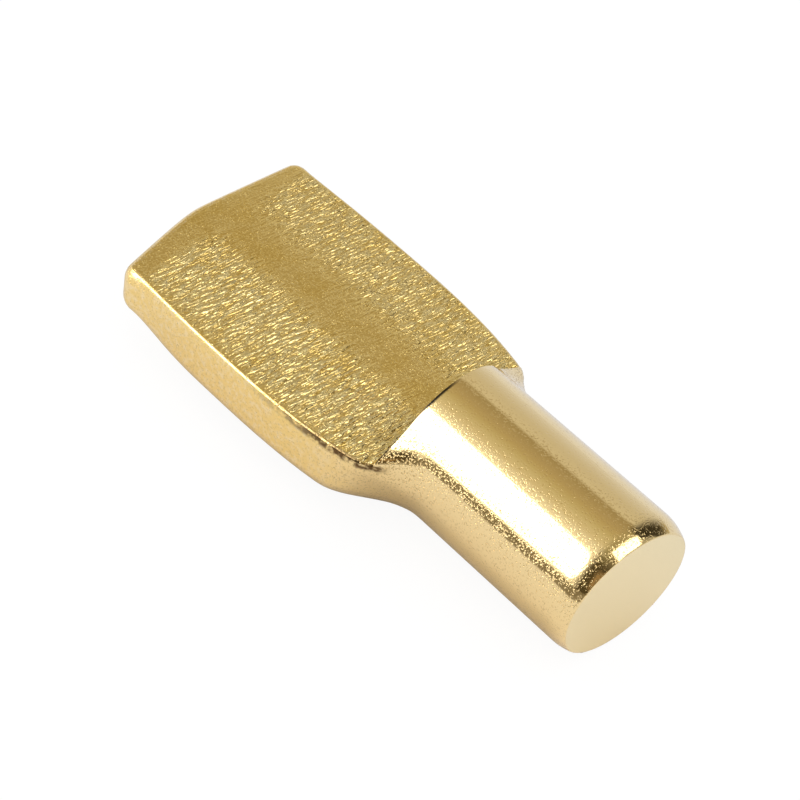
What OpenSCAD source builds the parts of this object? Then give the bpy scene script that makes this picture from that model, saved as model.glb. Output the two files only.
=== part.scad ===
// Shelf support pin: a round rod whose one end is pressed into a flat paddle.
// The pin's axis is X and points to +X. Its seat, at the mouth of its hole, is
// the plane X = 0, and the shelf rests on the pressed face, which faces +Z.

/* [Pin] */
// Diameter of the round pin, which fits the hole in the cabinet's side
pin_d = 5; // [4:0.1:6]
// Length of the pin from its seat to its end face, along the axis
pin_length = 6.4; // [4:0.05:12]
// Length of the rounded nose at the pin's end
nose_length = 0.75; // [0.4:0.05:1]
// Radius of the nose's rounding, which meets the end face in a crisp rim
nose_round = 1.85; // [1.5:0.05:4]
// Angle by which the end face is cropped out of square, seen from above
end_slant = 3; // [0:0.5:5]
// Angle by which the end face is cropped out of square, seen from the side
end_lean = 2; // [0:0.5:5]

/* [Pressed face] */
// Length of the pressed face from the shoulder to the crown of its end
face_length = 11.75; // [9:0.05:20]
// Height of the pressed face above the pin's axis
face_height = 0.55; // [0.3:0.05:1]
// Width of the pressed face where it is widest
face_width = 7.9; // [7.4:0.05:10]
// Width to which the sides of the face draw in at the shoulder
shoulder_width = 6.6; // [6.3:0.05:7.2]
// Width of the pressed face at its end
end_width = 7.6; // [6.5:0.05:9]
// Distance of the widest place from the shoulder
widest_at = 7; // [5:0.1:8]
// How far the end's corner on the -Y side stands back from its crown
near_setback = 0.9; // [0:0.05:1.5]
// How far the end's corner on the +Y side stands back from its crown
far_setback = 0.1; // [0:0.05:1.5]

/* [Shoulder] */
// Angle by which the shoulder's wall leans back
shoulder_draft = 6.5; // [0:0.5:15]
// Angle by which the shoulder is out of square with the pin
shoulder_skew = 3; // [-5:0.5:5]

/* [Paddle] */
// Thickness of the paddle below the pressed face
paddle_thickness = 2.4; // [2.2:0.05:3]
// Thickness of the paddle at its end
end_thickness = 1.65; // [1.4:0.05:3]
// Height of the upper part of the edge, from the face to its widest line
bulge_height = 0.6; // [0.3:0.05:0.7]
// How far the sides bulge out below the rim of the face
side_bulge = 0.08; // [0.05:0.01:0.4]
// How far the end bulges out below the rim of the face
end_bulge = 0.35; // [0.25:0.01:0.5]
// Rounding of the lower edges along the sides
side_round = 0.85; // [0.3:0.05:1]
// Rounding of the lower edge at the end
end_round = 0.5; // [0.3:0.05:0.5]
// Rounding of the two corners of the face
corner_round = 0.25; // [0.25:0.05:1]

/* [Neck] */
// Distance from the shoulder to the seat, where the pin is full round
neck_length = 1.3; // [0.8:0.1:2.5]
// Length over which the wings beside the shoulder run out, from the seat
wing_length = 1.95; // [1.3:0.05:3]
// How much longer the flare below the wings is for each millimetre of depth
flare_slant = 0.65; // [0.3:0.05:1.2]
// Angle above the sides at which the pin runs out into the wings
wing_angle = 42; // [30:1:60]
// How far the hollow of the wings reaches out from the pin
wing_reach = 0.8; // [0.4:0.05:1]

/* [Hidden] */

pin_r = pin_d / 2;
// The neck's facets stay this much inside the round pin where they meet it
seam = 0.01;
neck_r = pin_r - seam;
shoulder_x = -neck_length;
end_x = shoulder_x - face_length;
widest_x = shoulder_x - widest_at;
flare_length = wing_length + flare_slant * paddle_thickness;
rim_angle = 2 * atan(side_bulge / bulge_height);
// Room that the press takes above the top of the pin
press_room = 1;

// How sharply the sides draw in from the widest place to the shoulder
shoulder_bow = 3;
// How sharply the width, the thickness and the edges change towards the end
end_bow = 2;
thin_bow = 3;
edge_bow = 6;
// Length over which the crown of the end is rounded off
crown_softness = 0.8;
// How far the side runs on above the rim before it turns in over the wing
wing_lead = 0.15;
// Rise of the underside for each millimetre of length, where it meets the end
end_rise = thin_bow * (paddle_thickness - end_thickness) / (widest_x - end_x);

// Points round half a section: lower edge, side, wing and top of the pin
lower_steps = 12;
side_steps = 3;
wing_steps = 6;
top_steps = 6;
rim_points = lower_steps + side_steps;
half_points = rim_points + wing_steps + top_steps;

// Sections along the neck, the face, its corners and its end
neck_steps = 18;
face_steps = 12;
corner_steps = 4;
end_steps = 8;
// Facets round the rod, and steps along its nose
rod_facets = 96;
nose_steps = 8;

function blend(a, b, t) = a + (b - a) * t;
function clamp(t) = max(0, min(1, t));
function ease(t) = let (c = clamp(t)) c * c * c * (c * (6 * c - 15) + 10);
function on_circle(r, angle) = r * [cos(angle), sin(angle)];

// Share of the way from the widest place to the end
function to_end(x) = clamp((widest_x - x) / (widest_x - end_x));
function ended(side_value, end_value, x, bow) = blend(side_value, end_value, pow(to_end(x), bow));

// Half the width of the pressed face at a station
function half_face(x) =
    x > widest_x
    ? blend(face_width, shoulder_width, pow(clamp((x - widest_x) / widest_at), shoulder_bow)) / 2
    : ended(face_width, end_width, x, end_bow) / 2;

// Share of the way from the pin's circle to the paddle, at a height z
function swell(x, z) = ease(-x / (wing_length + flare_slant * (face_height - z)));

// The paddle's edge from its underside up to the rim of the face, as the
// distance that it stands out from the rim and its height. Its lower rounding
// starts in line with the underside, which rises towards the end
function edge_point(x, turn, k) =
    let (
        bulge = ended(side_bulge, end_bulge, x, edge_bow),
        low_round = ended(side_round, end_round, x, edge_bow),
        low = face_height - ended(paddle_thickness, end_thickness, x, thin_bow),
        low_angle = 90 - atan(end_rise * sin(turn)),
        bulge_round = (bulge_height * bulge_height + bulge * bulge) / (2 * bulge),
        bulge_angle = 2 * atan(bulge / bulge_height)
    )
    k < lower_steps
    ? [bulge - low_round, low + low_round * sin(low_angle)]
        + on_circle(low_round, -low_angle * (1 - k / (lower_steps - 1)))
    : [bulge - bulge_round, face_height - bulge_height]
        + on_circle(bulge_round, bulge_angle * (k - lower_steps + 1) / side_steps);

// Point k of a section whose rim is half wide. The section's edge is turned
// from the side, at 0 degrees, to the end, at 90 degrees
function skin_point(x, half, turn, k) =
    let (
        edge = edge_point(x, turn, k),
        paddle = [x - edge[0] * sin(turn), half + edge[0] * cos(turn), edge[1]],
        pin_step = (90 + rim_angle) / (rim_points - 0.5),
        pin = on_circle(neck_r, -90 + pin_step * (k + 0.5))
    )
    blend([x, pin[0], pin[1]], paddle, swell(x, edge[1]));

// The wing's hollow curve from the rim up to the pin's circle, for t from 0 to 1.
// At the seat it follows that circle
function wing_point(x, rim, t) =
    let (
        grown = swell(x, face_height),
        arc_lead = neck_r * 4 / 3 * tan((wing_angle - rim_angle) / 4),
        top = on_circle(neck_r, wing_angle),
        up = rim + on_circle(blend(arc_lead, wing_lead, grown), 90 + rim_angle),
        out = top + on_circle(blend(arc_lead, wing_reach, grown), wing_angle - 90),
        u = 1 - t
    )
    u * u * u * rim + 3 * u * u * t * up + 3 * u * t * t * out + t * t * t * top;

function half_ring(x, half, turn) =
    let (
        skin = [for (k = [0 : rim_points - 1]) skin_point(x, half, turn, k)],
        rim = skin[rim_points - 1],
        squeeze = half / half_face(x),
        wing = [
            for (k = [1 : wing_steps])
                wing_point(x, [rim[1] / squeeze, rim[2]], k / wing_steps)
        ],
        top_step = (90 - wing_angle) / (top_steps + 0.5),
        top = [for (k = [1 : top_steps]) on_circle(neck_r, wing_angle + top_step * k)]
    )
    concat(skin, [for (p = concat(wing, top)) [rim[0], p[0] * squeeze, p[1]]]);

// The end is crowned, and its two corners stand back by different amounts
function setback(y) =
    let (
        away = norm([y, crown_softness]) - crown_softness,
        corner = norm([end_width / 2, crown_softness]) - crown_softness
    )
    (y < 0 ? near_setback : far_setback) * away / corner;

function placed(x, y, z) = [x + setback(y) * to_end(x), y, z];

function ring(x, half, turn = 0) =
    let (side = half_ring(x, half, turn))
    [
        for (p = side) placed(p[0], p[1], p[2]),
        for (k = [half_points - 1 : -1 : 0]) placed(side[k][0], -side[k][1], side[k][2])
    ];

corner_x = end_x + corner_round;
corner_y = end_width / 2 - corner_round;

rings = [
    for (k = [0 : neck_steps])
        let (x = -flare_length * k / neck_steps)
        ring(x, half_face(x)),
    for (k = [1 : face_steps])
        let (x = blend(-flare_length, corner_x, k / face_steps))
        ring(x, half_face(x)),
    for (k = [1 : corner_steps])
        let (turn = 90 * k / corner_steps, p = on_circle(corner_round, turn))
        ring(corner_x - p[1], corner_y + p[0], turn),
    for (k = [1 : end_steps])
        ring(end_x, corner_y * (1 - k / (end_steps + 0.5)), 90)
];

// The rod's end as it is squeezed out, before its top is pressed flat: a skin
// through all rings, with a disc at the seat and a seam across the crown
module blank() {
    size = 2 * half_points;
    last = size * (len(rings) - 1);
    polyhedron(
        points = [for (r = rings) each r],
        faces = [
            [for (k = [size - 1 : -1 : 0]) k],
            for (a = [0 : size : last - size], k = [0 : size - 1])
                let (next = (k + 1) % size, b = a + size)
                each [[a + k, a + next, b + next], [a + k, b + next, b + k]],
            for (k = [0 : half_points - 2])
                let (a = last + k, b = last + size - 1 - k)
                each [[a, a + 1, b - 1], [a, b - 1, b]]
        ],
        convexity = 4
    );
}

// The room that the flat press takes: all above the face, up to the shoulder
module press() {
    reach = face_length + pin_d;
    top = pin_r + press_room;
    lean = tan(shoulder_draft);
    translate([shoulder_x, 0, 0])
        rotate([0, 0, shoulder_skew])
            rotate([90, 0, 0])
                linear_extrude(2 * face_width, center = true)
                    polygon([
                        [-reach, face_height],
                        [(face_height - pin_r) * lean, face_height],
                        [(top - pin_r) * lean, top],
                        [-reach, top]
                    ]);
}

// The round pin up to the furthest point of its end face
module rod() {
    slant_run = pin_r * norm([tan(end_slant), tan(end_lean)]);
    nose_angle = asin((nose_length + slant_run) / nose_round);
    rotate([0, 90, 0])
        rotate_extrude($fn = rod_facets)
            polygon([
                [0, 0],
                [pin_r, 0],
                for (k = [0 : nose_steps])
                    [pin_r - nose_round, pin_length - nose_length]
                        + on_circle(nose_round, nose_angle * k / nose_steps),
                [0, pin_length + slant_run]
            ]);
}

// What the cropping of the rod takes off at the pin's end
module crop() {
    translate([pin_length, 0, 0])
        rotate([0, end_lean, -end_slant])
            translate([0, -pin_d, -pin_d])
                cube(2 * pin_d);
}

module shelf_pin() {
    color("goldenrod") {
        difference() {
            rod();
            crop();
        }
        difference() {
            blank();
            press();
        }
    }
}

shelf_pin();
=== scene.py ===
import math

import bmesh
import bpy
from mathutils import Euler, Matrix, Quaternion, Vector


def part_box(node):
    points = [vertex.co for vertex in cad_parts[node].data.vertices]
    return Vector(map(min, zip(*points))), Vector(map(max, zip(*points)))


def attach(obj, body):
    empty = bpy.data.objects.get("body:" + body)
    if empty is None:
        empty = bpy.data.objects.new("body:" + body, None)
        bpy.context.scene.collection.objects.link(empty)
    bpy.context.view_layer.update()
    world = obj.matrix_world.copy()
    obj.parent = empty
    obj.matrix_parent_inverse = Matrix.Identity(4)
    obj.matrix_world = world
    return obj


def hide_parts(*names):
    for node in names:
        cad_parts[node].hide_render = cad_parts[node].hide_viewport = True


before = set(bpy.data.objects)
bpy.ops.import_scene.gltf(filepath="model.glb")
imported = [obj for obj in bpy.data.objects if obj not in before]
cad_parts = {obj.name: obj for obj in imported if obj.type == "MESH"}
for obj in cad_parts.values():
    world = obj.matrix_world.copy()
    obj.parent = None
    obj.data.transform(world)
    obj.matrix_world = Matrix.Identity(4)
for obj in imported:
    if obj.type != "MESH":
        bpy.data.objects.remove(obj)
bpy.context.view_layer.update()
print("frame loaded:", sorted(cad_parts))

mm = 0.001  # the pin is modelled in millimetres and brought to metres at the end
pinLow, pinHigh = (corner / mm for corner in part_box("shelf_pin"))

pinShape = {
    "radius": pinHigh.z - 0.002,  # just inside the turned rod
    "length": 6.4,
    "noseLength": 0.75,
    "noseRound": 1.85,
    "endSlant": 3.0, "endLean": 2.0,  # degrees out of square, from above and from the side
    "shoulderX": -1.3,
    "shoulderDraft": 6.5,
    "shoulderSkew": 3.0,
    "faceLength": 11.745,
    "faceHeight": 0.55,
    "faceWidth": 7.895,
    "shoulderWidth": 6.6,
    "endWidth": 7.6,
    "widestAt": 7.0,
    "nearSetback": 0.9,
    "farSetback": 0.1,
    "thickness": 2.4,
    "endThickness": 1.65,
    "bulgeHeight": 0.6,
    "sideBulge": 0.08,
    "endBulge": 0.35,
    "sideRound": 0.85,
    "endRound": 0.5,
    "cornerRound": 0.25,
    "wingLength": 1.95,
    "flareSlant": 0.65,
    "wingAngle": 42.0,
    "wingReach": 0.8,
    "wingLead": 0.15,
    "crownSoftness": 0.8,
    "widthBow": 2, "thinBow": 3, "edgeBow": 6, "shoulderBow": 3,  # how late each change comes
    "rimBevel": 0.085,  # edge left by the press
    "shoulderBevel": 0.1, "shoulderClear": 0.24,  # and the smooth strip kept in front of it
    "endBevel": 0.03,  # edge left by the crop
    "flatBorder": 0.02,
    # two parts of the neck, as their least and greatest x, |y| and z: what is eased
    # before the wall, and the ends of the shoulder, where tiny leftovers are merged
    "easedPart": ((-1.25, 2.2, 0.0), (-0.2, 9.0, 1.3)), "easeSteps": 12,
    "meetingPart": ((-1.9, 2.7, 0.4), (-1.1, 4.0, 0.8)), "meetingGap": 0.04,
}
pinDensity = {
    "lower": 14, "side": 5, "wing": 12, "top": 12,  # points round half a section
    "neck": 40, "face": 44, "corner": 8, "end": 20,  # sections towards the paddle's end
    "rod": 30, "nose": 12,  # sections towards the pin's end
    "faceRows": 26, "faceColumns": 14,
}
# what counts as near, level, sharp or wide while the pin is made
pinWork = {
    "noseRoom": 0.25,  # how much is drawn past the crop
    "seatNear": 1e-6, "ringGap": 1e-4, "weldGap": 4e-3,
    "wallCut": 1e-5, "faceCut": 1e-4, "gridCut": 1e-3,
    "rimLevel": 2e-4, "bevelLevel": 0.005, "faceLevel": 0.001, "facing": 0.9999,
    "sharp": 32.0,  # degrees
    "wallNear": 0.01, "wallEdgeUp": 0.6, "stripUp": 0.12,  # the last two from the face up
    "crossways": 0.25,  # most of an edge's length that may run along the pin
    "cropNear": 0.3,
    "flatPoints": 40, "flatArea": 2, "gridArea": 0.02,
}

shoulderX = pinShape["shoulderX"]
endX = shoulderX - pinShape["faceLength"]
widestX = shoulderX - pinShape["widestAt"]
faceZ = pinShape["faceHeight"]
cropNormal = Vector((1, 0, 0))
cropNormal.rotate(Euler((0, math.radians(pinShape["endLean"]), -math.radians(pinShape["endSlant"]))))
wallPoint = Vector((shoulderX, 0, pinShape["radius"]))
wallNormal = Vector((-1, 0, math.tan(math.radians(pinShape["shoulderDraft"])))).normalized()
wallNormal.rotate(Euler((0, 0, math.radians(pinShape["shoulderSkew"]))))


def blendTo(a, b, t):
    return a + (b - a) * t


def clampShare(t):
    return max(0.0, min(1.0, t))


def easeShare(t):
    t = clampShare(t)
    return t * t * t * (t * (6 * t - 15) + 10)


def onCircle(radius, degrees):
    return Vector((math.cos(math.radians(degrees)), math.sin(math.radians(degrees)))) * radius


def towardEnd(x, before, after, bow):
    share = clampShare((widestX - x) / (widestX - endX))
    return blendTo(before, after, share ** bow)


def halfFace(x):  # half the width of the pressed face at a station
    s = pinShape
    if x > widestX:
        share = clampShare((x - widestX) / s["widestAt"]) ** s["shoulderBow"]
        return blendTo(s["faceWidth"], s["shoulderWidth"], share) / 2
    return towardEnd(x, s["faceWidth"], s["endWidth"], s["widthBow"]) / 2


def swellShare(x, z):  # from the round pin, 0, to the full paddle, 1
    return easeShare(-x / (pinShape["wingLength"] + pinShape["flareSlant"] * (faceZ - z)))


def edgePoint(x, turn, k):
    # how far the edge stands out from the rim of the face, and its height
    s = pinShape
    bulge = towardEnd(x, s["sideBulge"], s["endBulge"], s["edgeBow"])
    lowRound = towardEnd(x, s["sideRound"], s["endRound"], s["edgeBow"])
    low = faceZ - towardEnd(x, s["thickness"], s["endThickness"], s["thinBow"])
    endRise = s["thinBow"] * (s["thickness"] - s["endThickness"]) / (widestX - endX)
    lowAngle = 90 - math.degrees(math.atan(endRise * math.sin(math.radians(turn))))
    height = s["bulgeHeight"]
    bulgeRound = (height * height + bulge * bulge) / (2 * bulge)
    bulgeAngle = 2 * math.degrees(math.atan(bulge / height))
    if k < pinDensity["lower"]:
        centre = Vector((bulge - lowRound, low + lowRound * math.sin(math.radians(lowAngle))))
        return centre + onCircle(lowRound, -lowAngle * (1 - k / (pinDensity["lower"] - 1)))
    centre = Vector((bulge - bulgeRound, faceZ - height))
    return centre + onCircle(bulgeRound, bulgeAngle * (k - pinDensity["lower"] + 1) / pinDensity["side"])


def halfSection(x, half, turn):
    # one side of a section as (x, y, z) points, from the underside up to the top
    s, rimAt = pinShape, pinDensity["lower"] + pinDensity["side"]
    rimAngle = 2 * math.degrees(math.atan(s["sideBulge"] / s["bulgeHeight"]))
    radius, points = s["radius"], []
    turned = math.radians(turn)
    for k in range(rimAt):
        edge = edgePoint(x, turn, k)
        paddle = Vector((x - edge.x * math.sin(turned), half + edge.x * math.cos(turned), edge.y))
        pin = onCircle(radius, -90 + (90 + rimAngle) / (rimAt - 0.5) * (k + 0.5))
        points.append(Vector((x, pin.x, pin.y)).lerp(paddle, swellShare(x, edge.y)))
    # the hollow of the wing: a curve from the rim up to the pin's circle. The last
    # section has no width of its own, and takes its neighbour's
    squeeze, grown, rim = half / halfFace(x), swellShare(x, faceZ), points[-1]
    start = Vector((rim.y / squeeze if squeeze > 0 else halfFace(x), rim.z))
    arcLead = radius * 4 / 3 * math.tan(math.radians(s["wingAngle"] - rimAngle) / 4)
    top = onCircle(radius, s["wingAngle"])
    up = start + onCircle(blendTo(arcLead, s["wingLead"], grown), 90 + rimAngle)
    out = top + onCircle(blendTo(arcLead, s["wingReach"], grown), s["wingAngle"] - 90)
    for k in range(1, pinDensity["wing"] + 1):
        t = k / pinDensity["wing"]
        u = 1 - t
        p = start * u ** 3 + up * (3 * u * u * t) + out * (3 * u * t * t) + top * t ** 3
        points.append(Vector((rim.x, p.x * squeeze, p.y)))
    for k in range(1, pinDensity["top"] + 1):
        p = onCircle(radius, s["wingAngle"] + (90 - s["wingAngle"]) / (pinDensity["top"] + 0.5) * k)
        points.append(Vector((rim.x, p.x * squeeze, p.y)))
    return points


def setBack(point):  # the end is crowned, and its two corners stand back differently
    s, soft = pinShape, pinShape["crownSoftness"]
    away = math.hypot(point.y, soft) - soft
    corner = math.hypot(s["endWidth"] / 2, soft) - soft
    share = clampShare((widestX - point.x) / (widestX - endX))
    side = s["nearSetback"] if point.y < 0 else s["farSetback"]
    return Vector((point.x + side * away / corner * share, point.y, point.z))


def sectionRing(x, half, turn=0):
    side = halfSection(x, half, turn)
    other = [Vector((p.x, -p.y, p.z)) for p in reversed(side)]
    return [setBack(p) for p in side + other]


def pinSections():
    # stations from the seat to the crown of the paddle's end
    s, n = pinShape, pinDensity
    flare = s["wingLength"] + s["flareSlant"] * s["thickness"]
    cornerX, cornerY = endX + s["cornerRound"], s["endWidth"] / 2 - s["cornerRound"]
    for k in range(1, n["neck"] + 1):
        x = -flare * k / n["neck"]
        yield sectionRing(x, halfFace(x))
    for k in range(1, n["face"] + 1):
        x = blendTo(-flare, cornerX, k / n["face"])
        yield sectionRing(x, halfFace(x))
    for k in range(1, n["corner"] + 1):
        turn = 90 * k / n["corner"]
        p = onCircle(s["cornerRound"], turn)
        yield sectionRing(cornerX - p.y, cornerY + p.x, turn)
    for k in range(1, n["end"] + 1):
        yield sectionRing(endX, cornerY * (1 - k / n["end"]), 90)


def editMesh():
    return bmesh.from_edit_mesh(bpy.context.object.data)


def pick(kind, test):
    # selects what passes the test, by its place or normal, and nothing else
    bpy.ops.mesh.select_all(action="DESELECT")
    bpy.ops.mesh.select_mode(type=kind)
    mesh = editMesh()
    things = {"VERT": mesh.verts, "EDGE": mesh.edges, "FACE": mesh.faces}[kind]
    found = 0
    for thing in things:
        if test(thing):
            thing.select_set(True)
            found += 1
    mesh.select_flush_mode()
    bmesh.update_edit_mesh(bpy.context.object.data)
    return found


def edgeMiddle(edge):
    return (edge.verts[0].co + edge.verts[1].co) / 2


def slidePull(value):
    bpy.ops.mesh.extrude_region_move(TRANSFORM_OT_translate={"value": value})


def drawOut(ring):
    # pulls a new ring out of the selected one and gives it its section
    slidePull((-0.01, 0, 0))
    mesh = editMesh()
    order = mesh.verts.layers.int["order"]
    for vert in mesh.verts:
        if vert.select:
            vert.co = ring[vert[order]]
    bmesh.update_edit_mesh(bpy.context.object.data)

def pickPart(part):
    # selects the points in a part of the pin, given by its least and greatest x, |y| and z
    low, high = part
    inside = lambda v: all(a < b < c for a, b, c in zip(low, (v.co.x, abs(v.co.y), v.co.z), high))
    return pick("VERT", inside)


def behindWall(point):  # how far a point lies behind the shoulder's wall, over the face
    return (point - wallPoint).dot(wallNormal)


def startPin():
    # the ring at the seat, whose points keep their order round the section
    seat = sectionRing(0, halfFace(0))
    bpy.ops.object.select_all(action="DESELECT")
    bpy.ops.mesh.primitive_circle_add(
        vertices=len(seat), radius=pinShape["radius"], rotation=(0, math.pi / 2, 0))
    pin = bpy.context.object
    pin.name = pin.data.name = "brassPin"
    bpy.ops.object.transform_apply(location=True, rotation=True, scale=True)
    bpy.ops.object.mode_set(mode="EDIT")
    mesh = editMesh()
    order = mesh.verts.layers.int.new("order")
    mesh.verts.ensure_lookup_table()
    for k, vert in enumerate(mesh.verts):
        vert[order], vert.co = k, seat[k]
    bmesh.update_edit_mesh(pin.data)
    return pin


def drawRod():
    # the rod and its rounded nose, drawn too long and then cropped
    s, n = pinShape, pinDensity
    bpy.ops.mesh.select_all(action="SELECT")
    straight = s["length"] - s["noseLength"]
    for k in range(n["rod"]):
        slidePull((straight / n["rod"], 0, 0))
    noseAngle = math.degrees(math.asin((s["noseLength"] + pinWork["noseRoom"]) / s["noseRound"]))
    inset = s["radius"] - s["noseRound"]
    before = onCircle(s["noseRound"], 0)
    for k in range(1, n["nose"] + 1):
        now = onCircle(s["noseRound"], noseAngle * k / n["nose"])
        slidePull((now.y - before.y, 0, 0))
        size = (inset + now.x) / (inset + before.x)
        bpy.ops.transform.resize(value=(1, size, size), center_override=(0, 0, 0))
        before = now
    bpy.ops.mesh.select_all(action="SELECT")
    bpy.ops.mesh.bisect(plane_co=(s["length"], 0, 0), plane_no=cropNormal,
                        clear_outer=True, use_fill=True, threshold=pinWork["wallCut"])
    print("rod and nose drawn")


def drawPaddle():
    # the squeezed neck and paddle, as they are before the press
    w = pinWork
    pick("VERT", lambda v: abs(v.co.x) < w["seatNear"])
    for ring in pinSections():
        drawOut(ring)
    bpy.ops.mesh.select_all(action="SELECT")
    bpy.ops.mesh.remove_doubles(threshold=w["ringGap"])
    bpy.ops.mesh.dissolve_degenerate(threshold=w["ringGap"])
    bpy.ops.mesh.normals_make_consistent(inside=False)
    pickPart(pinShape["easedPart"])
    bpy.ops.mesh.vertices_smooth(factor=0.5, repeat=pinShape["easeSteps"])
    print("neck and paddle drawn")


def pressFace():
    # everything over the face goes, up to the shoulder
    w = pinWork
    bpy.ops.mesh.select_all(action="SELECT")
    bpy.ops.mesh.bisect(plane_co=wallPoint, plane_no=wallNormal, threshold=w["wallCut"])
    overFace = lambda f: behindWall(f.calc_center_median()) > 0
    pick("FACE", overFace)
    bpy.ops.mesh.bisect(plane_co=(0, 0, faceZ), plane_no=(0, 0, 1), threshold=w["faceCut"])
    pick("FACE", lambda f: overFace(f) and f.calc_center_median().z > faceZ)
    bpy.ops.mesh.delete(type="FACE")
    openEdges = pick("EDGE", lambda e: e.is_boundary)
    levelRim = lambda e: all(abs(v.co.z - faceZ) < w["rimLevel"] for v in e.verts)
    rimEdges = pick("EDGE", lambda e: e.is_boundary and levelRim(e))
    print("open rim edges", openEdges, "on the face", rimEdges)
    bpy.ops.transform.resize(value=(1, 1, 0), center_override=(0, 0, faceZ))
    bpy.ops.mesh.edge_face_add()
    pick("EDGE", lambda e: e.is_boundary)
    bpy.ops.mesh.edge_face_add()
    bpy.ops.mesh.select_all(action="SELECT")
    bpy.ops.mesh.remove_doubles(threshold=w["weldGap"])
    bpy.ops.mesh.normals_make_consistent(inside=False)
    print("press cut, open edges left", pick("EDGE", lambda e: not e.is_manifold))


def roundOff(test, width, steps, limited):
    # rounds the sharp outward edges that pass the test
    sharp = math.radians(pinWork["sharp"])
    isSharp = lambda e: e.is_manifold and e.is_convex and e.calc_face_angle() > sharp
    found = pick("EDGE", lambda e: isSharp(e) and test(e))
    bpy.ops.mesh.bevel(offset=width, segments=steps, profile=0.5, affect="EDGES", clamp_overlap=limited)
    return found


def roundEdges():
    # small rounds where the tools met the skin
    s, w = pinShape, pinWork
    alongY = lambda e: abs(e.verts[0].co.x - e.verts[1].co.x) < w["crossways"] * e.calc_length()
    inStrip = lambda v: (-s["shoulderClear"] < behindWall(v.co) < -w["wallNear"]
                         and v.co.z > faceZ + w["stripUp"])
    pick("EDGE", lambda e: alongY(e) and all(inStrip(v) for v in e.verts))
    bpy.ops.mesh.dissolve_edges(use_verts=True)
    onShoulder = lambda e: (abs(behindWall(edgeMiddle(e))) < w["wallNear"]
                            and edgeMiddle(e).z > faceZ + w["wallEdgeUp"])
    print("shoulder edges bevelled", roundOff(onShoulder, s["shoulderBevel"], 4, True))
    onRim = lambda e: (edgeMiddle(e).x < 0
                       and all(abs(v.co.z - faceZ) < w["bevelLevel"] for v in e.verts))
    pressed = roundOff(onRim, s["rimBevel"], 3, False)
    onCrop = lambda e: edgeMiddle(e).x > s["length"] - w["cropNear"]
    cropped = roundOff(onCrop, s["endBevel"], 3, False)
    print("bevelled", pressed, "pressed and", cropped, "cropped edges")
    # tiny leftovers where the wall, the face and the skin meet
    pickPart(s["meetingPart"])
    bpy.ops.mesh.remove_doubles(threshold=s["meetingGap"])


def divideFlats():
    # a narrow border holds each flat level up to its rounded edge, and the face gets a grid
    s, n, w = pinShape, pinDensity, pinWork
    flats = pick("FACE", lambda f: len(f.verts) > w["flatPoints"] and f.calc_area() > w["flatArea"])
    bpy.ops.mesh.inset(thickness=s["flatBorder"], depth=0)
    onTop = lambda f: (f.normal.z > w["facing"]
                       and abs(f.calc_center_median().z - faceZ) < w["faceLevel"])
    side = s["faceWidth"] / 2
    for way, first, last, cuts in ((Vector((1, 0, 0)), endX, shoulderX, n["faceRows"]),
                                   (Vector((0, 1, 0)), -side, side, n["faceColumns"])):
        for k in range(1, cuts):
            pick("FACE", lambda f: onTop(f) and f.calc_area() > w["gridArea"])
            bpy.ops.mesh.bisect(plane_co=way * blendTo(first, last, k / cuts), plane_no=way,
                                threshold=w["gridCut"])
    print("flats with a border:", flats)


def makePin():
    pin = startPin()
    drawRod()
    drawPaddle()
    pressFace()
    roundEdges()
    divideFlats()
    bpy.ops.object.mode_set(mode="OBJECT")
    return pin


# how many degrees the faces of a flat may be turned, as the one beside the wall can be by
# a little over 1, how far they may lie from the pressed face, and where the crop begins, mm
zoneCheck = {"pressTurned": 2.5, "cropTurned": 1, "near": 0.01, "tip": 6}


def paintZones(pin, skin, pressed, cropped):
    # the flats left by the press and by the crop have their own finish
    for material in (skin, pressed, cropped):
        pin.data.materials.append(material)
    near, tip = zoneCheck["near"] * mm, zoneCheck["tip"] * mm
    level = math.cos(math.radians(zoneCheck["pressTurned"]))
    square = math.cos(math.radians(zoneCheck["cropTurned"]))
    onFace = lambda f: f.normal.z > level and abs(f.calc_center_median().z - faceZ * mm) < near
    onCrop = lambda f: f.normal.dot(cropNormal) > square and f.calc_center_median().x > tip
    bpy.ops.object.mode_set(mode="EDIT")
    for slot, zone in ((1, onFace), (2, onCrop)):
        pick("FACE", zone)
        pin.active_material_index = slot
        bpy.ops.object.material_slot_assign()
    bpy.ops.object.mode_set(mode="OBJECT")


def newMaterial(name):
    material = bpy.data.materials.new(name)
    material.use_nodes = True
    tree = material.node_tree
    return material, tree, tree.nodes["Principled BSDF"]


def addNode(tree, kind, **settings):
    node = tree.nodes.new(kind)
    for name, value in settings.items():
        if name in node.inputs:
            node.inputs[name].default_value = value
        else:
            setattr(node, name, value)
    return node


def feed(tree, socket, value):
    # links another node's output, or sets a number or a tone
    if isinstance(value, bpy.types.NodeSocket):
        tree.links.new(value, socket)
    elif isinstance(value, tuple):
        socket.default_value = (*value, 1)
    else:
        socket.default_value = value


def mathNode(tree, operation, *values):
    node = addNode(tree, "ShaderNodeMath", operation=operation)
    for socket, value in zip(node.inputs, values):
        feed(tree, socket, value)
    return node.outputs[0]


def passNode(tree, value, start, end, low=0.0, high=1.0, softly=True):
    # passes from low to high while the value goes from start to end
    node = addNode(tree, "ShaderNodeMapRange", interpolation_type="SMOOTHSTEP" if softly else "LINEAR")
    for name, given in (("Value", value), ("From Min", start), ("From Max", end),
                        ("To Min", low), ("To Max", high)):
        feed(tree, node.inputs[name], given)
    return node.outputs["Result"]


def mixNode(tree, share, before, after, way="MIX"):
    node = addNode(tree, "ShaderNodeMix", data_type="RGBA", blend_type=way)
    for place, given in ((0, share), (6, before), (7, after)):
        feed(tree, node.inputs[place], given)
    return node.outputs[2]


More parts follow.
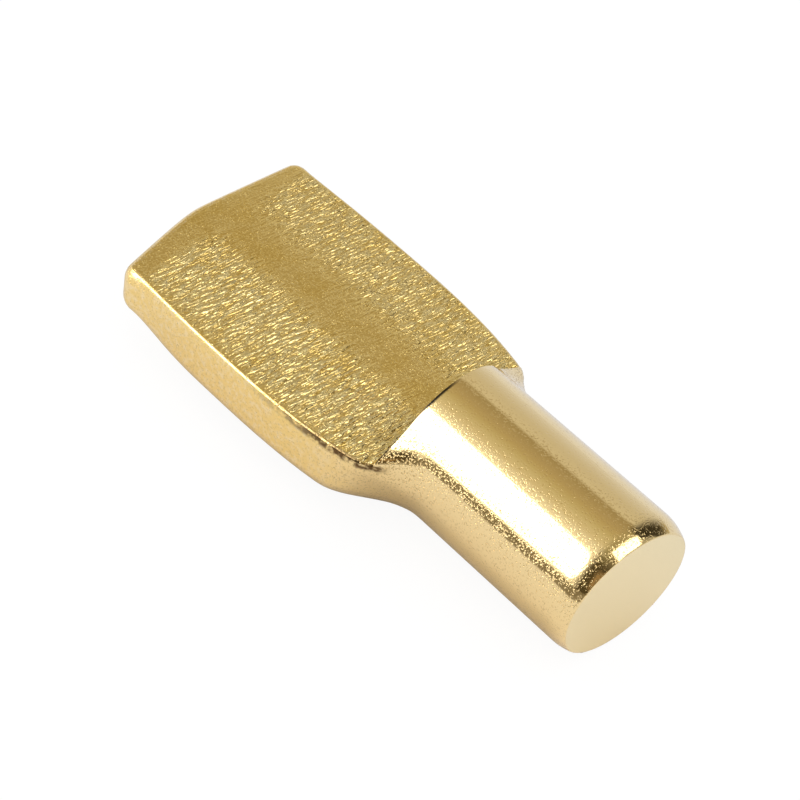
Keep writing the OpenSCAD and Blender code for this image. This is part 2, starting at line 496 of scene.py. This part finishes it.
def bumpNode(tree, height, depth, over=None):  # depth in mm
    node = addNode(tree, "ShaderNodeBump", Distance=depth * mm)
    feed(tree, node.inputs["Height"], height)
    if over is not None:
        feed(tree, node.inputs["Normal"], over)
    return node.outputs["Normal"]


def splitPlace(tree, place):
    split = tree.nodes.new("ShaderNodeSeparateXYZ")
    feed(tree, split.inputs[0], place)
    return split.outputs


def placeInMillimetres(tree):
    place = tree.nodes.new("ShaderNodeTexCoord")
    scaled = addNode(tree, "ShaderNodeMapping")
    scaled.inputs["Scale"].default_value = (1 / mm, 1 / mm, 1 / mm)
    feed(tree, scaled.inputs["Vector"], place.outputs["Object"])
    return scaled.outputs["Vector"]


def newGroup(name, inputs, outputs):
    group = bpy.data.node_groups.new(name, "ShaderNodeTree")
    for label, kind, value in inputs:
        socket = group.interface.new_socket(label, in_out="INPUT", socket_type=kind)
        if value is not None:
            socket.default_value = value
    for label in outputs:
        group.interface.new_socket(label, in_out="OUTPUT", socket_type="NodeSocketFloat")
    return group, group.nodes.new("NodeGroupInput").outputs, group.nodes.new("NodeGroupOutput").inputs


def makeGrainGroup():
    # sparse fine pits of the plating, as a height, and a slow mottle
    group, given, result = newGroup(
        "platingGrain",
        [("Place", "NodeSocketVector", None), ("Scale", "NodeSocketFloat", 9.0),
         ("Mottle Scale", "NodeSocketFloat", 1.2), ("Pit Start", "NodeSocketFloat", 0.5),
         ("Pit Floor", "NodeSocketFloat", 0.75)],
        ["Height", "Mottle"])
    fine = addNode(group, "ShaderNodeTexNoise", Detail=2.0, Roughness=0.55)
    slow = addNode(group, "ShaderNodeTexNoise", Detail=2.0, Roughness=0.5)
    for noise, scale in ((fine, "Scale"), (slow, "Mottle Scale")):
        feed(group, noise.inputs["Vector"], given["Place"])
        feed(group, noise.inputs["Scale"], given[scale])
    pits = passNode(group, fine.outputs["Fac"], given["Pit Start"], given["Pit Floor"], 1.0, 0.0)
    feed(group, result["Height"], pits)
    feed(group, result["Mottle"], slow.outputs["Fac"])
    return group


bandPlaces = ("Start", "Full", "Last Full", "End")  # of a band, in order


def makeBandGroup():
    # a mask that rises from Start to Full, and falls from Last Full to End
    group, given, result = newGroup(
        "bandMask", [(label, "NodeSocketFloat", None) for label in ("Value", *bandPlaces)], ["Mask"])
    rise = passNode(group, given["Value"], given["Start"], given["Full"])
    fall = passNode(group, given["Value"], given["End"], given["Last Full"])
    feed(group, result["Mask"], mathNode(group, "MULTIPLY", rise, fall))
    return group


grainGroup, bandGroup = makeGrainGroup(), makeBandGroup()


def addGrain(tree, place, **settings):
    grain = addNode(tree, "ShaderNodeGroup", node_tree=grainGroup, **settings)
    feed(tree, grain.inputs["Place"], place)
    return grain.outputs["Height"], grain.outputs["Mottle"]


def bandMask(tree, value, band):
    mask = addNode(tree, "ShaderNodeGroup", node_tree=bandGroup, **dict(zip(bandPlaces, band)))
    feed(tree, mask.inputs["Value"], value)
    return mask.outputs["Mask"]


def finishMetal(tree, shader, tone, roughness, normal):
    feed(tree, shader.inputs["Base Color"], tone)
    feed(tree, shader.inputs["Roughness"], roughness)
    feed(tree, shader.inputs["Normal"], normal)
    shader.inputs["Metallic"].default_value = 1.0


# places in mm. A band has four: where it starts, is full, is last full and ends
skinFinish = {
    "shankTone": (0.90, 0.68, 0.33), "paddleTone": (0.90, 0.65, 0.24),
    "toneFrom": -4.5, "toneTo": -0.5,  # along the pin
    "shankRoughness": 0.10, "paddleRoughness": 0.2,
    "grainScale": 15.0, "grainDepth": 0.009, "pitStart": 0.52, "pitFloor": 0.78,
    "smoothFrom": 1.3, "smoothTo": 1.8, "smoothed": 0.45,  # the top of the pin is smoother
    "pitTone": (0.92, 0.87, 0.80), "wornTone": (0.93, 0.74, 0.42),
    "mottleScale": 5.0, "mottlePatch": (0.42, 0.68), "mottle": 0.65,
    # a painted dark line of shade along the shoulder's rim
    "shoulderShadeTone": (0.05, 0.04, 0.03), "shoulderShadeWide": (0.05, 0.12),
    "shoulderShadeAcross": (-3.4, -3.0, -0.6, 0.1), "shoulderShadeUp": (0.62, 0.72, 3.0, 4.0),
    "shoulderShadeThinFrom": -1.2, "shoulderShadeThinTo": -1.8, "shoulderShadeThinner": 3.0,  # towards the near side
    # painted shade in patches under the rim of the face
    "rimShadeTone": (0.14, 0.08, 0.03), "rimShadePatch": (0.3, 0.5), "rimShadeAlong": (-7.0, -2.6, -1.3, -0.8),
    "rimShadeUp": (0.22, 0.38, 0.5, 0.58), "rimShadeNear": (-4.2, -4.1, -3.0, -2.7),
    "neckAlong": (-3.4, -2.0, -0.2, 1.0), "neckUp": (-4.0, -3.0, 1.0, 1.5), "neckGrain": 1.8,
}


def skinTone(tree, towardPin, height, mottle):
    # a slow paler mottle, most of it on the paddle, and darker pits
    s = skinFinish
    tone = mixNode(tree, towardPin, s["paddleTone"], s["shankTone"])
    patch = passNode(tree, mottle, *s["mottlePatch"])
    fading = passNode(tree, towardPin, 0, 1, s["mottle"], 0.0, softly=False)
    worn = mixNode(tree, mathNode(tree, "MULTIPLY", patch, fading), tone, s["wornTone"])
    deep = passNode(tree, height, 0, 1, 1.0, 0.0, softly=False)
    return mixNode(tree, deep, worn, s["pitTone"], way="MULTIPLY")


def paintedShoulderShade(tree, place, split):
    # painted shade: a dark line painted along the rim of the shoulder that the press left, on its near
    # half
    s = skinFinish
    fromWall = addNode(tree, "ShaderNodeVectorMath", operation="DOT_PRODUCT")
    fromWall.inputs[1].default_value = wallNormal
    feed(tree, fromWall.inputs[0], place)
    apart = mathNode(tree, "SUBTRACT", fromWall.outputs["Value"], wallPoint.dot(wallNormal))
    thinner = passNode(tree, split["Y"], s["shoulderShadeThinFrom"], s["shoulderShadeThinTo"], 1.0, s["shoulderShadeThinner"])
    scaled = mathNode(tree, "MULTIPLY", mathNode(tree, "ABSOLUTE", apart), thinner)
    full, end = s["shoulderShadeWide"]
    close = passNode(tree, scaled, end, full)
    aboveFace = mathNode(tree, "MULTIPLY", close, bandMask(tree, split["Z"], s["shoulderShadeUp"]))
    return mathNode(tree, "MULTIPLY", aboveFace, bandMask(tree, split["Y"], s["shoulderShadeAcross"]))


def paintedRimShade(tree, split, mottle):
    # painted shade: dark patches under the rim of the face, thickest beside the shoulder
    s = skinFinish
    share = passNode(tree, mottle, *s["rimShadePatch"], softly=False)
    for axis, band in (("X", "rimShadeAlong"), ("Y", "rimShadeNear"), ("Z", "rimShadeUp")):
        share = mathNode(tree, "MULTIPLY", share, bandMask(tree, split[axis], s[band]))
    return share


def skinRelief(tree, split, height):
    # the pits are shallower on top of the pin and deepest on the neck
    s = skinFinish
    polish = passNode(tree, split["Z"], s["smoothFrom"], s["smoothTo"], 1.0, s["smoothed"])
    relief = mathNode(tree, "MULTIPLY", height, polish)
    neck = mathNode(tree, "MULTIPLY", bandMask(tree, split["X"], s["neckAlong"]),
                    bandMask(tree, split["Z"], s["neckUp"]))
    coarser = passNode(tree, neck, 0, 1, 1.0, s["neckGrain"], softly=False)
    return mathNode(tree, "MULTIPLY", relief, coarser)


def makeSkin():
    s = skinFinish
    material, tree, shader = newMaterial("platedSkin")
    place = placeInMillimetres(tree)
    split = splitPlace(tree, place)
    height, mottle = addGrain(tree, place, **{
        "Scale": s["grainScale"], "Mottle Scale": s["mottleScale"],
        "Pit Start": s["pitStart"], "Pit Floor": s["pitFloor"]})
    towardPin = passNode(tree, split["X"], s["toneFrom"], s["toneTo"])
    tone = skinTone(tree, towardPin, height, mottle)
    # painted shade along the shoulder's rim
    tone = mixNode(tree, paintedShoulderShade(tree, place, split), tone, s["shoulderShadeTone"])
    # painted shade under the rim of the face
    tone = mixNode(tree, paintedRimShade(tree, split, mottle), tone, s["rimShadeTone"])
    rough = passNode(tree, towardPin, 0, 1, s["paddleRoughness"], s["shankRoughness"], softly=False)
    normal = bumpNode(tree, skinRelief(tree, split, height), s["grainDepth"])
    finishMetal(tree, shader, tone, rough, normal)
    return material


pressedFinish = {
    "tone": (0.90, 0.66, 0.245), "roughness": 0.18,
    "smearTone": (0.86, 0.61, 0.195), "smearScale": 0.9, "smear": (0.42, 0.66),
    "rippleAcross": 13.0, "rippleAlong": 2.3,  # ripples for each millimetre, along the pin and across it
    "rippleDepth": 0.15, "rippleMiddle": 0.5,  # so that a band stands no higher than the face beside it
    "rippleEverywhere": 0.045, "farStrength": 0.75,
    # a painted highlight: the ripples' crests are painted paler
    "crestSheenTone": (0.92, 0.74, 0.35), "crestSheenBand": (0.4, 0.6),
    "grainScale": 14.0, "grainDepth": 0.0085,
    "nearBand": (-4.1, -3.3, -1.4, 0.0), "farBand": (0.6, 2.2, 3.5, 4.3),  # across the face
    "endFade": (-12.3, -11.6), "endSkew": 0.12,  # along the pin, and how much later on the far side
}


def faceRipples(tree, place, split):
    # ripples across the face, and how strong they are: a band runs along each side of it
    s = pressedFinish
    stretch = addNode(tree, "ShaderNodeMapping")
    stretch.inputs["Scale"].default_value = (s["rippleAcross"], s["rippleAlong"], 1)
    feed(tree, stretch.inputs["Vector"], place)
    ripple = addNode(tree, "ShaderNodeTexNoise", Scale=1.0, Detail=1.0, Roughness=0.4, Distortion=0.15)
    feed(tree, ripple.inputs["Vector"], stretch.outputs["Vector"])
    far = mathNode(tree, "MULTIPLY", bandMask(tree, split["Y"], s["farBand"]), s["farStrength"])
    bands = mathNode(tree, "MAXIMUM", bandMask(tree, split["Y"], s["nearBand"]), far)
    skewed = mathNode(tree, "MULTIPLY_ADD", split["Y"], s["endSkew"], split["X"])
    return ripple.outputs["Fac"], mathNode(tree, "MULTIPLY", bands, passNode(tree, skewed, *s["endFade"]))


def makePressed():
    s = pressedFinish
    material, tree, shader = newMaterial("pressedFace")
    place = placeInMillimetres(tree)
    ripple, reach = faceRipples(tree, place, splitPlace(tree, place))
    height, mottle = addGrain(tree, place, **{"Scale": s["grainScale"], "Mottle Scale": s["smearScale"]})
    # slow smears, and a painted highlight: the crests of the ripples are painted paler
    tone = mixNode(tree, passNode(tree, mottle, *s["smear"]), s["tone"], s["smearTone"])
    paintedCrestSheen = mathNode(tree, "MULTIPLY", passNode(tree, ripple, *s["crestSheenBand"]), reach)
    tone = mixNode(tree, paintedCrestSheen, tone, s["crestSheenTone"])
    level = mathNode(tree, "SUBTRACT", ripple, s["rippleMiddle"])
    strength = passNode(tree, reach, 0, 1, s["rippleEverywhere"], 1.0, softly=False)
    rippled = bumpNode(tree, mathNode(tree, "MULTIPLY", level, strength), s["rippleDepth"])
    normal = bumpNode(tree, height, s["grainDepth"], over=rippled)
    finishMetal(tree, shader, tone, s["roughness"], normal)
    return material


croppedFinish = {"tone": (0.92, 0.77, 0.45), "roughness": 0.36, "grainScale": 14.0, "grainDepth": 0.0015}


def makeCropped():
    s = croppedFinish
    material, tree, shader = newMaterial("croppedEnd")
    height = addGrain(tree, placeInMillimetres(tree), Scale=s["grainScale"])[0]
    finishMetal(tree, shader, s["tone"], s["roughness"], bumpNode(tree, height, s["grainDepth"]))
    return material


pin = makePin()
pin.data.transform(Matrix.Scale(mm, 4))
bpy.ops.object.select_all(action="DESELECT")
pin.select_set(True)
bpy.context.view_layer.objects.active = pin
paintZones(pin, makeSkin(), makePressed(), makeCropped())
bpy.ops.object.shade_smooth_by_angle(angle=math.radians(40))
steady = pin.modifiers.new("steadyShading", "WEIGHTED_NORMAL")
steady.keep_sharp = True
bpy.ops.object.modifier_apply(modifier=steady.name)
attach(pin, "root")
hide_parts("shelf_pin")
print("pin made, triangles", sum(len(p.vertices) - 2 for p in pin.data.polygons))

# seen by the camera it is near white, and what the metal mirrors has its own colours, with a painted
# shadow below the pin and a painted darker, cooler far half
floorLook = {
    "size": 1.2,
    # painted shade: the far half of the floor is painted darker and cooler
    "near": (0.94, 0.945, 1.0), "far": (0.82, 0.87, 1.0), "farShadeFrom": 0.002, "farShadeTo": 0.007,
    # a painted shadow: the floor that the metal mirrors is darker in a strip below the pin
    "under": (0.72, 0.70, 0.66), "underAcross": (-0.0048, -0.0022, 0.001, 0.004),  # below the pin
    "underAlong": (-0.03, -0.02, 0.0045, 0.0065),  # but not before its end face
    "seen": (0.1, 0.1, 0.1), "seenGlow": 0.92,
}


def makeFloor():
    s = floorLook
    bpy.ops.object.select_all(action="DESELECT")
    bpy.ops.mesh.primitive_plane_add(size=s["size"], location=(0, 0, pinLow.z * mm))
    floor = bpy.context.object
    floor.name = "floor"
    material, tree, shader = newMaterial("paleFloor")
    tree.nodes.remove(shader)
    split = splitPlace(tree, tree.nodes.new("ShaderNodeTexCoord").outputs["Object"])
    # the far half painted darker and cooler, as shade
    farHalfShaded = mixNode(tree, passNode(tree, split["Y"], s["farShadeFrom"], s["farShadeTo"]), s["near"], s["far"])
    paintedShadowUnderPin = mathNode(tree, "MULTIPLY", bandMask(tree, split["Y"], s["underAcross"]),
                       bandMask(tree, split["X"], s["underAlong"]))
    toCamera = tree.nodes.new("ShaderNodeLightPath").outputs["Is Camera Ray"]
    paint = tree.nodes.new("ShaderNodeBsdfDiffuse")
    glow = tree.nodes.new("ShaderNodeEmission")
    both = tree.nodes.new("ShaderNodeAddShader")
    # the painted shadow below the pin
    mirrored = mixNode(tree, paintedShadowUnderPin, farHalfShaded, s["under"])
    feed(tree, paint.inputs["Color"], mixNode(tree, toCamera, mirrored, s["seen"]))
    feed(tree, glow.inputs["Strength"], mathNode(tree, "MULTIPLY", toCamera, s["seenGlow"]))
    feed(tree, both.inputs[0], paint.outputs[0])
    feed(tree, both.inputs[1], glow.outputs[0])
    feed(tree, tree.nodes["Material Output"].inputs["Surface"], both.outputs[0])
    floor.data.materials.append(material)


# the tent round the pin: degrees from straight up, towards +Y, and its colour there
tentLook = {
    "aheadOfPaddle": [(-180, (0.6, 0.6, 0.6)), (-92, (0.9, 0.9, 0.88)), (-30, (0.95, 0.93, 0.84)),
                      (-20, (0.45, 0.39, 0.24)), (60, (0.45, 0.39, 0.24)), (72, (0.66, 0.61, 0.46))],
    "overPaddle": [(-92, (0.9, 0.9, 0.88)), (-27, (1.0, 1.0, 1.0)), (-19, (0.85, 0.86, 0.84)),
                   (-11, (0.72, 0.68, 0.55)), (-3, (0.65, 0.62, 0.47)), (5, (0.575, 0.53, 0.35)),
                   (13, (0.51, 0.445, 0.275)), (21, (0.465, 0.40, 0.26)), (34, (0.39, 0.335, 0.21)),
                   (38.5, (0.37, 0.32, 0.20)), (41, (0.69, 0.675, 0.61)), (61, (0.64, 0.63, 0.59)),
                   (77, (0.685, 0.70, 0.74)), (93, (0.77, 0.81, 0.93))],
    "overPin": [(-180, (0.4, 0.37, 0.29)), (-100, (0.08, 0.065, 0.035)), (-34, (0.08, 0.065, 0.035)),
                (-14, (0.37, 0.345, 0.225)), (28, (0.41, 0.375, 0.245)), (33, (0.04, 0.034, 0.022)),
                (74, (0.05, 0.045, 0.03)), (92, (0.62, 0.56, 0.4))],
    "pastPin": [(-180, (0.4, 0.38, 0.35)), (-100, (0.08, 0.065, 0.035)), (-72, (0.08, 0.065, 0.035)),
                (-62, (0.36, 0.26, 0.15)), (-46, (0.36, 0.26, 0.15)), (-36, (0.06, 0.05, 0.03)),
                (-12, (0.3, 0.27, 0.2)), (60, (0.5, 0.5, 0.48)), (92, (0.8, 0.8, 0.78))],
    # where one passes into the next, as a share of straight along the pin
    "paddleMeets": (-0.82, -0.68), "pinMeets": (-0.23, 0.02), "pastMeets": (0.22, 0.3),
    "plain": (1, 1, 1),  # what lights the floor
}


def tentRamp(tree, share, stops):
    ramp = tree.nodes.new("ShaderNodeValToRGB")
    elements = ramp.color_ramp.elements
    while len(elements) < len(stops):
        elements.new(1.0)
    for element, (degrees, colour) in zip(elements, stops):
        element.position = (degrees + 180) / 360
        element.color = (*colour, 1)
    feed(tree, ramp.inputs["Fac"], share)
    return ramp.outputs["Color"]


def makeTent():
    s = tentLook
    world = bpy.data.worlds.new("lightTent")
    bpy.context.scene.world = world
    world.use_nodes = True
    tree = world.node_tree
    split = splitPlace(tree, tree.nodes.new("ShaderNodeTexCoord").outputs["Generated"])
    around = mathNode(tree, "ARCTAN2", split["Y"], split["Z"])
    share = passNode(tree, around, -math.pi, math.pi, softly=False)
    colour = tentRamp(tree, share, s["aheadOfPaddle"])
    for name, meets in (("overPaddle", "paddleMeets"), ("overPin", "pinMeets"), ("pastPin", "pastMeets")):
        passed = passNode(tree, split["X"], *s[meets])
        colour = mixNode(tree, passed, colour, tentRamp(tree, share, s[name]))
    # the metal mirrors the tent, and the floor is lit by a plain white sky
    mirrored = tree.nodes.new("ShaderNodeLightPath").outputs["Is Glossy Ray"]
    feed(tree, tree.nodes["Background"].inputs["Color"], mixNode(tree, mirrored, s["plain"], colour))
    world.cycles.sampling_method = "NONE"  # so that each ray sees its own side of the mix


# strip softboxes parallel to the pin: distance from its axis, degrees from straight
# up towards +Y, where they start and end along it, width and brightness
softboxes = {
    "paddleSoftbox": {"away": 0.25, "lean": -51.5, "start": -0.59, "end": -0.15,
                      "width": 0.228, "bright": 3.3},
    "paddleSoftboxTip": {"away": 0.25, "lean": -51.5, "start": -0.264, "end": -0.036,
                         "width": 0.228, "bright": 3.3},
    "pinSoftbox": {"away": 0.25, "lean": 11, "start": 0.04, "end": 0.27,
                   "width": 0.2, "bright": 2.8},
}


def makeSoftbox(name, s):
    lean = math.radians(s["lean"])
    length = s["end"] - s["start"]
    outward, along = Vector((0, math.sin(lean), math.cos(lean))), Vector((1, 0, 0))
    lamp = bpy.data.lights.new(name, "AREA")
    lamp.shape = "DISK" if name.endswith("Tip") else "RECTANGLE"  # the tip rounds off the long box
    lamp.size, lamp.size_y = length, s["width"]
    area = length * s["width"] * (math.pi / 4 if lamp.shape == "DISK" else 1)
    lamp.energy = s["bright"] * math.pi * area
    box = bpy.data.objects.new(name, lamp)
    bpy.context.scene.collection.objects.link(box)
    box.location = outward * s["away"] + along * ((s["start"] + s["end"]) / 2)
    box.rotation_euler = Matrix((along, outward.cross(along), outward)).transposed().to_euler()
    box.visible_camera = box.visible_diffuse = False


# a dark flag low on the near side, which draws the dark line along the neck and the pin
flagPlace = {
    "away": 0.032, "start": -0.019, "end": 0.03, "low": -0.0008, "high": 0.0076,
    "felt": (0.27, 0.24, 0.18),
}


def makeFlag():
    s = flagPlace
    middle = ((s["start"] + s["end"]) / 2, -s["away"], (s["low"] + s["high"]) / 2)
    bpy.ops.object.select_all(action="DESELECT")
    bpy.ops.mesh.primitive_plane_add(size=1, rotation=(math.pi / 2, 0, 0), location=middle)
    flag = bpy.context.object
    flag.name = "blackFlag"
    flag.scale = (s["end"] - s["start"], s["high"] - s["low"], 1)
    bpy.ops.object.transform_apply(location=True, rotation=True, scale=True)
    material, tree, shader = newMaterial("blackFelt")
    feed(tree, shader.inputs["Base Color"], s["felt"])
    shader.inputs["Roughness"].default_value = 1.0
    shader.inputs["Specular IOR Level"].default_value = 0.0
    flag.data.materials.append(material)
    flag.visible_camera = flag.visible_shadow = flag.visible_diffuse = False


cameraView = {
    "azimuth": 40.11, "elevation": 45.88, "roll": 10.55, "lens": 112.56, "distance": 0.0777,
    "aim": (-0.003514, 0.000062, -0.000445),
}


def makeCamera():
    s = cameraView
    azimuth, elevation = math.radians(s["azimuth"]), math.radians(s["elevation"])
    level = math.cos(elevation)
    back = Vector((math.sin(azimuth) * level, -math.cos(azimuth) * level, math.sin(elevation)))
    camera = bpy.data.objects.new("camera", bpy.data.cameras.new("camera"))
    bpy.context.scene.collection.objects.link(camera)
    camera.data.lens = s["lens"]
    camera.data.clip_start, camera.data.clip_end = 0.001, 10
    camera.location = Vector(s["aim"]) + back * s["distance"]
    roll = Quaternion((0, 0, 1), math.radians(s["roll"]))
    camera.rotation_euler = (back.to_track_quat("Z", "Y") @ roll).to_euler()
    bpy.context.scene.camera = camera


makeFloor()
makeTent()
makeFlag()
for name, setting in softboxes.items():
    makeSoftbox(name, setting)
makeCamera()
bpy.context.scene.view_settings.view_transform = "Standard"
print("floor, tent, softboxes and camera set")
